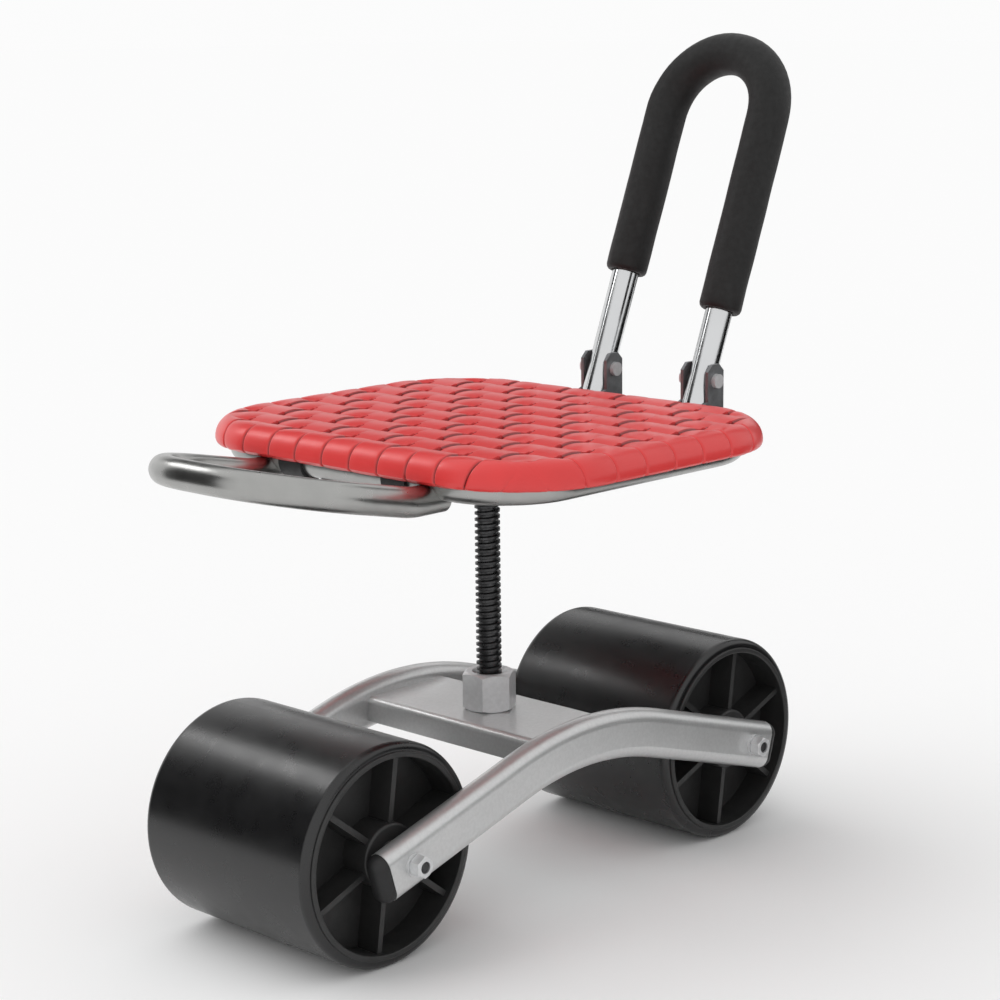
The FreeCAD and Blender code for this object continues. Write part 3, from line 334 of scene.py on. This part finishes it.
FINISHES = {
    "seat_red": moulded_polypropylene_red,
    "drum_black": moulded_polyethylene_black,
    "cap_black": moulded_cap_black,
    "foam_black": extruded_foam_black,
    "trim_black": moulded_trim_black,
    "bush_grey": moulded_nylon_grey,
    "frame_silver": sprayed_silver_paint,
    "bracket_grey": plated_bracket_grey,
    "screw_black": oxide_black_steel,
    "zinc_steel": zinc_plated_steel,
    "tube_chrome": polished_chrome_plate,
    "tube_satin": satin_chrome_plate,
}
made_finishes = {}


def finish_of(slot):
    """The material of a slot, made once."""
    if slot not in made_finishes:
        made_finishes[slot] = FINISHES[slot](bpy.context.scene.garden_seat_colours)
    return made_finishes[slot]


def coat(piece, slot):
    """Gives a piece the finish of a slot."""
    piece.data.materials.clear()
    piece.data.materials.append(finish_of(slot))


# Modelling helpers
def deselect_all():
    if bpy.context.mode != "OBJECT":
        bpy.ops.object.mode_set(mode="OBJECT")
    bpy.ops.object.select_all(action="DESELECT")


def select_only(piece):
    deselect_all()
    piece.select_set(True)
    bpy.context.view_layer.objects.active = piece


def name_piece(name):
    """Names the new object and puts its place into its mesh."""
    piece = bpy.context.object
    piece.name = name
    piece.data.name = name
    bpy.ops.object.transform_apply(location=True, rotation=True, scale=True)
    return piece


def edit(piece):
    select_only(piece)
    bpy.ops.object.mode_set(mode="EDIT")
    bpy.ops.mesh.select_all(action="DESELECT")
    return bmesh.from_edit_mesh(piece.data)


def delete_faces(piece, wanted):
    """Deletes the faces that a test picks, with what only they use."""
    mesh = edit(piece)
    bpy.ops.mesh.select_mode(type="FACE")
    for face in mesh.faces:
        face.select_set(wanted(face))
    mesh.select_flush_mode()
    bmesh.update_edit_mesh(piece.data)
    bpy.ops.mesh.delete(type="FACE")
    bpy.ops.object.mode_set(mode="OBJECT")


def smooth(piece, degrees):
    select_only(piece)
    bpy.ops.object.shade_smooth_by_angle(angle=math.radians(degrees))


def settle(piece, body, slot, replaced=()):
    """Finishes a new piece and fixes it to its body."""
    coat(piece, slot)
    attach(piece, body)
    if replaced:
        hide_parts(*replaced)


def ease(low, high, at):
    """0 below low, 1 above high and a smooth rise between."""
    t = min(1.0, max(0.0, (at - low) / (high - low)))
    return t * t * (3 - 2 * t)


# Woven seat
# Runs past the flat top between which the weave gives way to the grooves on the rim
FADE = (-3 * MM, 7 * MM)
# Width and share of the sharp and the soft part of a groove
GROOVE_PARTS = ((0.8 * MM, 0.85), (4 * MM, 0.15))
# How squarely the rim faces the end of a strap where its groove begins, and where it is full
GROOVE_FACING = (0.7, 0.92)
# Strength and width of the painted shade along a strap's edge
PAINTED_SHADE_STRENGTH, PAINTED_SHADE_WIDTH = 0.9, 0.9 * MM
# Grid lines to either side of a strap's edge, in millimetres
LINES_BESIDE = (0.5, 1.2, 1.8, 2.6, 4.8, 5.6, 7.5, 10.5)


def past_flat(sizes, x, y):
    """Point where the rim's rounding starts, the way out from there and the run past it."""
    across = sizes.half_width - sizes.corner
    deep = sizes.half_depth - sizes.corner
    corner = sizes.corner - sizes.rim_round
    dx, dy = abs(x) - across, abs(y) - deep
    if dx > 0 and dy > 0:
        way = Vector((dx, dy)).normalized()
        start = Vector((across, deep)) + corner * way
        run = math.hypot(dx, dy) - corner
    elif dx > dy:
        way, start, run = Vector((1, 0)), Vector((across + corner, abs(y))), dx - corner
    else:
        way, start, run = Vector((0, 1)), Vector((abs(x), deep + corner)), dy - corner
    side = Vector((math.copysign(1, x), math.copysign(1, y)))
    return start * side, way * side, run


def rim_runs(sizes):
    """Runs at which the rim's rounding, its wall, its lower edge and its foot end."""
    rolled = sizes.rim_round * math.pi / 2
    walled = rolled + sizes.top - sizes.bottom - sizes.rim_round - sizes.rim_edge
    edged = walled + sizes.rim_edge * math.pi / 2
    return rolled, walled, edged, edged + sizes.rim_wall - sizes.rim_edge


def rim_profile(sizes, run):
    """Step out, height and outward slope of the skin at a run past the flat top."""
    rolled, walled, edged, foot = rim_runs(sizes)
    if run <= rolled:
        turn = run / sizes.rim_round
        return (sizes.rim_round * math.sin(turn), sizes.top - sizes.rim_round * (1 - math.cos(turn)), turn)
    if run <= walled:
        return sizes.rim_round, sizes.top - sizes.rim_round - (run - rolled), math.pi / 2
    low = sizes.bottom + sizes.rim_edge
    if run <= edged:
        turn = (run - walled) / sizes.rim_edge
        step = sizes.rim_round - sizes.rim_edge * (1 - math.cos(turn))
        return step, low - sizes.rim_edge * math.sin(turn), math.pi / 2 + turn
    return sizes.rim_round - sizes.rim_edge - (min(run, foot) - edged), sizes.bottom, math.pi


def split(at):
    """Number of a strap or row, and the place across it from -0.5 to 0.5."""
    whole = math.floor(at)
    return whole, at - whole - 0.5


def edge_drop(inside, rounding):
    """Drop of a rounded edge at a distance in from it."""
    if inside >= rounding:
        return 0.0
    return rounding - math.sqrt(rounding ** 2 - (rounding - max(inside, 0)) ** 2)


def weave_drop(sizes, x, y):
    """Depth of the basket weave below its crowns, and how much painted shade to put there."""
    strap, across = split(x / sizes.strap_pitch + 0.5)
    row, along = split(y / sizes.row_pitch)
    to_strap_edge = (0.5 - abs(across)) * sizes.strap_pitch
    to_row_edge = (0.5 - abs(along)) * sizes.row_pitch
    if to_strap_edge < sizes.slit_width / 2 and to_row_edge < sizes.slit_length / 2:
        # The slits get full painted shade, standing in for the shadow in them
        return -sizes.strap_rise - sizes.slit_depth, 1.0
    over = 1 if (strap + row) % 2 == 0 else -1
    height = (sizes.row_level - over * sizes.row_rise * math.cos(math.pi * across)
              - sizes.row_crown * (2 * along) ** 2)
    inside = to_strap_edge - sizes.strap_gap / 2
    # Painted shade on both sides of a strap's edge, standing in for the shadow in the gap
    painted_shade = PAINTED_SHADE_STRENGTH * math.exp(-(to_strap_edge / PAINTED_SHADE_WIDTH) ** 2)
    if inside > 0:
        strap_height = over * sizes.strap_rise * math.cos(math.pi * along)
        height = max(height, strap_height - edge_drop(inside, sizes.strap_edge))
    return height - sizes.strap_rise, painted_shade


def rim_drop(sizes, x, y, way):
    """Depth of the grooves between the straps where they wrap over the rim."""
    strap_side = (0.5 - abs(split(x / sizes.strap_pitch + 0.5)[1])) * sizes.strap_pitch
    row_side = (0.5 - abs(split(y / sizes.row_pitch)[1])) * sizes.row_pitch
    drop = 0.0
    for side, facing, depth in ((strap_side, way.y, sizes.groove), (row_side, way.x, sizes.side_groove)):
        shape = sum(share * math.exp(-(side / width) ** 2) for width, share in GROOVE_PARTS)
        drop -= depth * shape * ease(*GROOVE_FACING, abs(facing))
    return drop


def weave_lines(pitch, phase, reach):
    """Places of grid lines close at the straps' edges and wide on the straps, out to the reach."""
    steps = [0, pitch / 2] + [side * step * MM for step in LINES_BESIDE for side in (-1, 1)]
    count = math.ceil(reach / pitch) + 1
    places = [(turn + phase) * pitch + step for turn in range(-count, count + 1) for step in steps]
    return [-reach] + sorted(place for place in places if abs(place) < reach - 0.2 * MM) + [reach]


def weave_grid(sizes):
    """A grid spaced for the weave, laid over the seat and rolled down round its rim."""
    reach = rim_runs(sizes)[3] - sizes.rim_round
    lines_x = weave_lines(sizes.strap_pitch, 0.5, sizes.half_width + reach)
    lines_y = weave_lines(sizes.row_pitch, 0, sizes.half_depth + reach)
    deselect_all()
    last_x, last_y = len(lines_x) - 1, len(lines_y) - 1
    bpy.ops.mesh.primitive_grid_add(x_subdivisions=last_x, y_subdivisions=last_y, size=2)
    piece = name_piece("woven_seat")
    # The groove attribute holds painted shade, with some dust, for the seat's material, not depth
    groove = piece.data.attributes.new("groove", "FLOAT", "POINT")
    runs = []
    for vertex in piece.data.vertices:
        x = lines_x[round((vertex.co.x + 1) / 2 * last_x)]
        y = lines_y[round((vertex.co.y + 1) / 2 * last_y)]
        start, way, run = past_flat(sizes, x, y)
        runs.append(run)
        woven = 1 - ease(*FADE, run)
        drop = painted_shade = 0.0
        if woven > 0:
            drop, painted_shade = (woven * part for part in weave_drop(sizes, x, y))
        if run > FADE[0]:
            dip = (1 - woven) * rim_drop(sizes, x, y, way)
            drop += dip
            # Painted shade in the rim grooves, darker the deeper the groove
            painted_shade += min(1.0, max(0.0, -2 * dip / sizes.groove - 1.0))
        groove.data[vertex.index].value = min(1.0, painted_shade)
        if run <= 0:
            vertex.co = (x, y, sizes.top + drop)
            continue
        step, height, turn = rim_profile(sizes, run)
        step += drop * math.sin(turn)
        place = start + way * step
        vertex.co = (place.x, place.y, height + drop * math.cos(turn))
    return piece, runs


class GARDENSEAT_OT_woven_seat(Operator):
    """Models the moulded seat's basket weave and its rolled, grooved rim"""
    bl_idname = "garden_seat.woven_seat"
    bl_label = "Woven seat"

    def execute(self, context):
        sizes = context.scene.garden_seat_weave
        piece, runs = weave_grid(sizes)
        foot = rim_runs(sizes)[3]
        delete_faces(piece, lambda face: all(runs[corner.index] >= foot for corner in face.verts))
        smooth(piece, 40)
        settle(piece, "seat", "seat_red", ["seat_shell"])
        return {"FINISHED"}


class GARDENSEAT_OT_seat_underside(Operator):
    """Takes the seat's ribbed underside from a copy of its solid"""
    bl_idname = "garden_seat.seat_underside"
    bl_label = "Seat underside"

    def execute(self, context):
        sizes = context.scene.garden_seat_weave
        margin = 0.1 * MM
        ceiling = sizes.top - sizes.skin + margin
        inner = sizes.rim_round - sizes.rim_wall + margin
        piece = bpy.data.objects.new("seat_underside", NODES["seat_shell"].data.copy())
        context.scene.collection.objects.link(piece)
        edit(piece)
        bpy.ops.mesh.select_all(action="SELECT")
        bpy.ops.mesh.remove_doubles(threshold=0.001 * MM)

        def is_skin(face):
            middle = face.calc_center_median()
            return middle.z > ceiling or past_flat(sizes, middle.x, middle.y)[2] > inner

        delete_faces(piece, is_skin)
        smooth(piece, 30)
        settle(piece, "seat", "seat_red")
        return {"FINISHED"}


# Foam sleeve
# Radius and height over the sleeve's end of the rings round its lip, between the tube and the rounded edge
LIP = [(10.8 * MM, 0.6 * MM), (12.2 * MM, 0), (13.9 * MM, 0.3 * MM), (15.1 * MM, 1.5 * MM)]


def lip_rings(sizes, end):
    """Radius and height of the rings from the tube out to the sleeve's rounded edge."""
    lip = [(sizes.bore, 3 * MM), *LIP, (sizes.radius, 3.6 * MM)]
    return [(radius, end + over) for radius, over in lip]


def leg_rings(sizes, end, bow):
    """Radius and height of the rings from a sleeve's end up to the bow."""
    count = int((bow - end - sizes.first_ring - sizes.last_gap) / sizes.ring_step) + 1
    return [(sizes.radius, end + sizes.first_ring + step * sizes.ring_step) for step in range(count)]


class GARDENSEAT_OT_foam_sleeve(Operator):
    """Draws the foam sleeve up one leg of the backrest, round its bow and down the other leg"""
    bl_idname = "garden_seat.foam_sleeve"
    bl_label = "Foam sleeve"

    def execute(self, context):
        sizes = context.scene.garden_seat_foam
        bow = sizes.height - sizes.leg_half
        first, *right = lip_rings(sizes, sizes.right_end) + leg_rings(sizes, sizes.right_end, bow)
        left = lip_rings(sizes, sizes.left_end) + leg_rings(sizes, sizes.left_end, bow)
        deselect_all()
        radius, height = first
        bpy.ops.mesh.primitive_circle_add(vertices=48, radius=radius, location=(sizes.leg_half, 0, height))
        piece = name_piece("foam_sleeve_skin")
        bpy.ops.object.mode_set(mode="EDIT")
        bpy.ops.mesh.select_all(action="SELECT")

        def draw(side, rings, radius, height):
            for wide, high in rings:
                bpy.ops.mesh.extrude_edges_move(TRANSFORM_OT_translate={"value": (0, 0, high - height)})
                bpy.ops.transform.resize(value=(wide / radius, wide / radius, 1),
                                         center_override=(side * sizes.leg_half, 0, high))
                radius, height = wide, high

        draw(1, right + [(sizes.radius, bow)], *first)
        bpy.ops.mesh.spin(steps=30, angle=math.pi, center=(0, 0, bow), axis=(0, 1, 0))
        draw(-1, left[::-1], sizes.radius, bow)
        bpy.ops.mesh.select_all(action="SELECT")
        bpy.ops.mesh.remove_doubles(threshold=0.01 * MM)
        bpy.ops.mesh.normals_make_consistent(inside=False)
        bpy.ops.object.mode_set(mode="OBJECT")
        for vertex in piece.data.vertices:
            vertex.co += vertex.normal * noise.noise(vertex.co / sizes.swell) * sizes.unevenness
        lean = Matrix.Translation((0, sizes.pivot_y, sizes.pivot_z)) @ Matrix.Rotation(-sizes.lean, 4, "X")
        piece.data.transform(lean)
        smooth(piece, 60)
        settle(piece, "backrest", "foam_black", ["foam_sleeve"])
        return {"FINISHED"}


class GARDENSEAT_OT_finishes(Operator):
    """Gives every CAD node the finish of its material slot"""
    bl_idname = "garden_seat.finishes"
    bl_label = "Finishes"

    def execute(self, context):
        for part in frame["record"]["subparts"]:
            coat(NODES[part["node"]], part["material_slot"])
        return {"FINISHED"}


# Studio
# Name, direction in degrees from the axles, distance, width, lower and upper edge of each upright black card
CARDS = [
    ("card_front_left", 234, 0.96, 0.7, 0.0, 1.0),
    ("card_back", 95, 2.0, 0.5, 0.0, 2.4),
    ("card_back_left", 113, 1.28, 1.5, 0.2, 0.48),
    ("card_right", 46, 1.2, 1.6, 0.0, 0.35),
    ("card_left", 163, 0.53, 0.75, 0.55, 0.9),
]
# Middle, width and depth of the black card that lies on the floor
FLOOR_CARD = Vector((0.62, 0.7, 2 * MM)), 0.84, 0.8
# Middle of the softbox, the point that it faces, and its side
SOFTBOX = Vector((-0.78, -0.32, 0.95)), Vector((0, 0, 0.15)), 0.3


class GARDENSEAT_OT_stage(Operator):
    """Lays the floor, hangs the cards and sets the soft light and the camera"""
    bl_idname = "garden_seat.stage"
    bl_label = "Studio"

    def execute(self, context):
        settings = context.scene.garden_seat_studio
        self.lay_floor(settings)
        self.light(context, settings)
        self.hang_cards()
        self.aim(context, settings)
        context.scene.view_settings.view_transform = "Standard"
        return {"FINISHED"}

    def lay_floor(self, settings):
        deselect_all()
        bpy.ops.mesh.primitive_plane_add(size=settings.floor_size)
        floor = name_piece("paper_floor")
        # Matt white paper, so the floor takes the soft shadow and nothing else
        material, _, shader, _ = begin("matt white paper", Specular_IOR_Level=0.0, Roughness=1.0)
        shader.inputs["Base Color"].default_value = settings.floor
        floor.data.materials.append(material)

    def light(self, context, settings):
        world = bpy.data.worlds.new("studio")
        context.scene.world = world
        world.use_nodes = True
        tree = world.node_tree
        path = add(tree, "LightPath").outputs
        seen = add(tree, "Math", {0: path["Is Camera Ray"], 1: path["Is Glossy Ray"]}, operation="MAXIMUM")
        seen = add(tree, "Math", {0: seen.outputs[0], 1: path["Is Transmission Ray"]}, operation="MAXIMUM")
        strength = add(tree, "MapRange", {"Value": seen.outputs[0], "To Min": settings.sky,
                                          "To Max": settings.backdrop})
        tree.links.new(strength.outputs["Result"], tree.nodes["Background"].inputs["Strength"])
        tree.nodes["Background"].inputs["Color"].default_value = (1, 1, 1, 1)
        deselect_all()
        bpy.ops.object.light_add(type="SUN", location=(0, 0, 3))
        key = context.object
        key.name = "key_light"
        key.data.energy = settings.key
        key.data.angle = settings.key_spread
        key.visible_glossy = False
        key.rotation_euler = Vector(settings.key_way).to_track_quat("-Z", "Y").to_euler()

    def hang_cards(self):
        # Black cards that only reflections see, which put dark bands on chrome and black plastic
        black, _, shader, _ = begin("black card", Specular_IOR_Level=0.0, Roughness=1.0)
        shader.inputs["Base Color"].default_value = linear("#0A0A0A")
        for name, turn, away, width, low, high in CARDS:
            place = Vector((math.cos(math.radians(turn)), math.sin(math.radians(turn)), 0)) * away
            place.z = (low + high) / 2
            self.hang(name, black, place, (math.pi / 2, 0, math.radians(turn + 90)), width, high - low)
        place, width, depth = FLOOR_CARD
        self.hang("card_floor", black, place, (0, 0, 0), width, depth)
        # A lamp's diffuser that only reflections see, for the highlights along bends and rounded edges
        glow, _, shader, _ = begin("softbox cloth", Emission_Strength=4.0, Specular_IOR_Level=0.0)
        shader.inputs["Emission Color"].default_value = (1, 1, 1, 1)
        place, target, side = SOFTBOX
        self.hang("softbox", glow, place, (target - place).to_track_quat("Z", "Y").to_euler(), side, side)

    def hang(self, name, material, place, facing, width, height):
        """A flat piece that only reflections see."""
        deselect_all()
        bpy.ops.mesh.primitive_plane_add(size=1, location=place, rotation=facing)
        bpy.ops.transform.resize(value=(width, height, 1), orient_type="LOCAL")
        card = name_piece(name)
        card.data.materials.append(material)
        for ray in ("camera", "diffuse", "transmission", "volume_scatter", "shadow"):
            setattr(card, "visible_" + ray, False)

    def aim(self, context, settings):
        deselect_all()
        bpy.ops.object.camera_add()
        camera = context.object
        camera.name = "camera"
        camera.data.lens = settings.lens
        camera.data.sensor_width = settings.sensor
        camera.data.sensor_fit = "HORIZONTAL"
        camera.data.clip_end = 100
        level, turn = settings.elevation, settings.azimuth
        flat = Vector((math.sin(turn), -math.cos(turn), 0))
        back = flat * math.cos(level) + Vector((0, 0, math.sin(level)))
        right = Vector((math.cos(turn), math.sin(turn), 0))
        up = back.cross(right)
        c, s = math.cos(settings.roll), math.sin(settings.roll)
        axes = Matrix((c * right + s * up, c * up - s * right, back)).transposed()
        camera.matrix_world = Matrix.Translation(settings.camera) @ axes.to_4x4()
        context.scene.camera = camera


STEPS = [GARDENSEAT_OT_finishes, GARDENSEAT_OT_woven_seat, GARDENSEAT_OT_seat_underside,
         GARDENSEAT_OT_foam_sleeve, GARDENSEAT_OT_stage]
SETTINGS = {"garden_seat_weave": WovenSeatSizes, "garden_seat_foam": FoamSleeveSizes,
            "garden_seat_colours": FinishColours, "garden_seat_studio": StudioSettings}


class GARDENSEAT_PT_panel(Panel):
    """Lists the steps that build the garden seat, and its settings"""
    bl_idname = "GARDENSEAT_PT_panel"
    bl_label = "Garden seat"
    bl_space_type = "VIEW_3D"
    bl_region_type = "UI"
    bl_category = "Garden seat"

    def draw(self, context):
        for step in STEPS:
            self.layout.operator(step.bl_idname)
        for name, group in SETTINGS.items():
            box = self.layout.box()
            box.label(text=group.__doc__)
            for setting in group.__annotations__:
                box.prop(getattr(context.scene, name), setting)


def register():
    for kind in [*SETTINGS.values(), *STEPS, GARDENSEAT_PT_panel]:
        bpy.utils.register_class(kind)
    for name, group in SETTINGS.items():
        setattr(bpy.types.Scene, name, PointerProperty(type=group))


def unregister():
    for name in SETTINGS:
        delattr(bpy.types.Scene, name)
    for kind in [GARDENSEAT_PT_panel, *reversed(STEPS), *SETTINGS.values()]:
        bpy.utils.unregister_class(kind)


def main():
    register()
    for step in STEPS:
        group, name = step.bl_idname.split(".")
        getattr(getattr(bpy.ops, group), name)()


if __name__ == "__main__":
    main()
